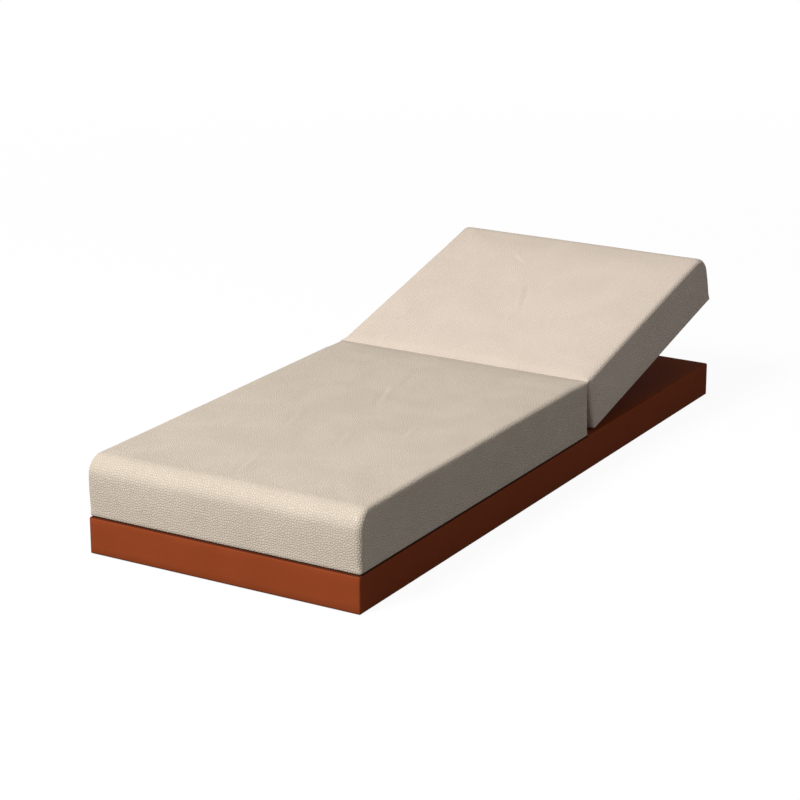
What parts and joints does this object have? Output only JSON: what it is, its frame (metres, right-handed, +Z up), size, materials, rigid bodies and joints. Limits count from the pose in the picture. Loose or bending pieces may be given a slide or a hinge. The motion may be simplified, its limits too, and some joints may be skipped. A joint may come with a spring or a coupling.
{
  "type": "spa relaxation lounger",
  "caption": "Low padded lounger: a fixed seat cushion and a reclining backrest cushion on a flat upholstered plinth.",
  "frame": {"origin": "on the floor, under the middle of the plinth, at the resting face of the middle glide", "axes": "+X across the lounger, +Y from the foot end to the head end, +Z up"},
  "size_m": [0.8038, 2.0048, 0.4375],
  "materials": {
    "cushion_leatherette": "fine pebble grain, soft satin",
    "plinth_leatherette": "smooth satin",
    "foam": "open-cell foam",
    "plywood": "raw sanded plywood",
    "pine": "planed pine",
    "black_steel": "black powder coat",
    "bright_steel": "drawn steel",
    "zinc": "zinc plated",
    "bronze": "sintered bronze",
    "nylon": "moulded nylon",
    "felt": "pressed felt",
    "dust_cloth": "non-woven cloth"
  },
  "bodies": {
    "base": {"base_cover": "plinth_leatherette", "deck_board": "plywood", "side_rail_left": "pine", "side_rail_right": "pine", "foot_rail": "pine", "head_rail": "pine", "cross_rails": "pine", "stay_rail": "pine", "corner_blocks": "pine", "glides": "nylon", "deck_screws": "zinc", "hinge_blocks": "pine", "hinge_post_left": "black_steel", "hinge_post_right": "black_steel", "hinge_post_bolts": "zinc", "hinge_pins": "bright_steel", "hinge_clips": "black_steel", "hinge_washers": "zinc", "stay_foot_brackets": "black_steel", "stay_foot_screws": "zinc", "stay_foot_pins": "bright_steel", "felt_pads": "felt", "seat_board": "plywood", "seat_foam": "foam", "seat_cover": "cushion_leatherette", "seat_bolts": "zinc", "seat_tee_nuts": "zinc"},
    "back": {"back_board": "plywood", "back_foam": "foam", "back_cover": "cushion_leatherette", "back_dust_cloth": "dust_cloth", "hinge_arm_left": "black_steel", "hinge_arm_right": "black_steel", "hinge_bushes": "bronze", "hinge_arm_bolts": "zinc", "stay_head_brackets": "black_steel", "stay_head_screws": "zinc", "stay_head_pins": "bright_steel"},
    "tube_left": {"stay_tube_left": "bright_steel", "stay_collar_left": "nylon", "stay_detent_left": "bright_steel"},
    "tube_right": {"stay_tube_right": "bright_steel", "stay_collar_right": "nylon", "stay_detent_right": "bright_steel"},
    "rod_left": {"stay_rod_left": "zinc"},
    "rod_right": {"stay_rod_right": "zinc"}
  },
  "joints": [
    {"name": "back_recline", "type": "hinge", "parent": "base", "child": "back", "pos_m": [0, 0.206, 0.245], "axis": [1, 0, 0], "range_deg": [-14, 31]},
    {"name": "tube_left_swing", "type": "hinge", "parent": "base", "child": "tube_left", "pos_m": [-0.12, 0.124, 0.03], "axis": [1, 0, 0], "range_deg": [-7, 15.5]},
    {"name": "rod_left_swing", "type": "hinge", "parent": "back", "child": "rod_left", "pos_m": [-0.12, 0.3785, 0.09271], "axis": [1, 0, 0], "range_deg": [-15.5, 7]},
    {"name": "tube_right_swing", "type": "hinge", "parent": "base", "child": "tube_right", "pos_m": [0.12, 0.124, 0.03], "axis": [1, 0, 0], "range_deg": [-7, 15.5]},
    {"name": "rod_right_swing", "type": "hinge", "parent": "back", "child": "rod_right", "pos_m": [0.12, 0.3785, 0.09271], "axis": [1, 0, 0], "range_deg": [-15.5, 7]}
  ],
  "couplings": [
    {"joint": "tube_left_swing", "follows": "back_recline", "ratio": 0.5},
    {"joint": "tube_right_swing", "follows": "back_recline", "ratio": 0.5},
    {"joint": "rod_left_swing", "follows": "back_recline", "ratio": -0.5},
    {"joint": "rod_right_swing", "follows": "back_recline", "ratio": -0.5}
  ]
}
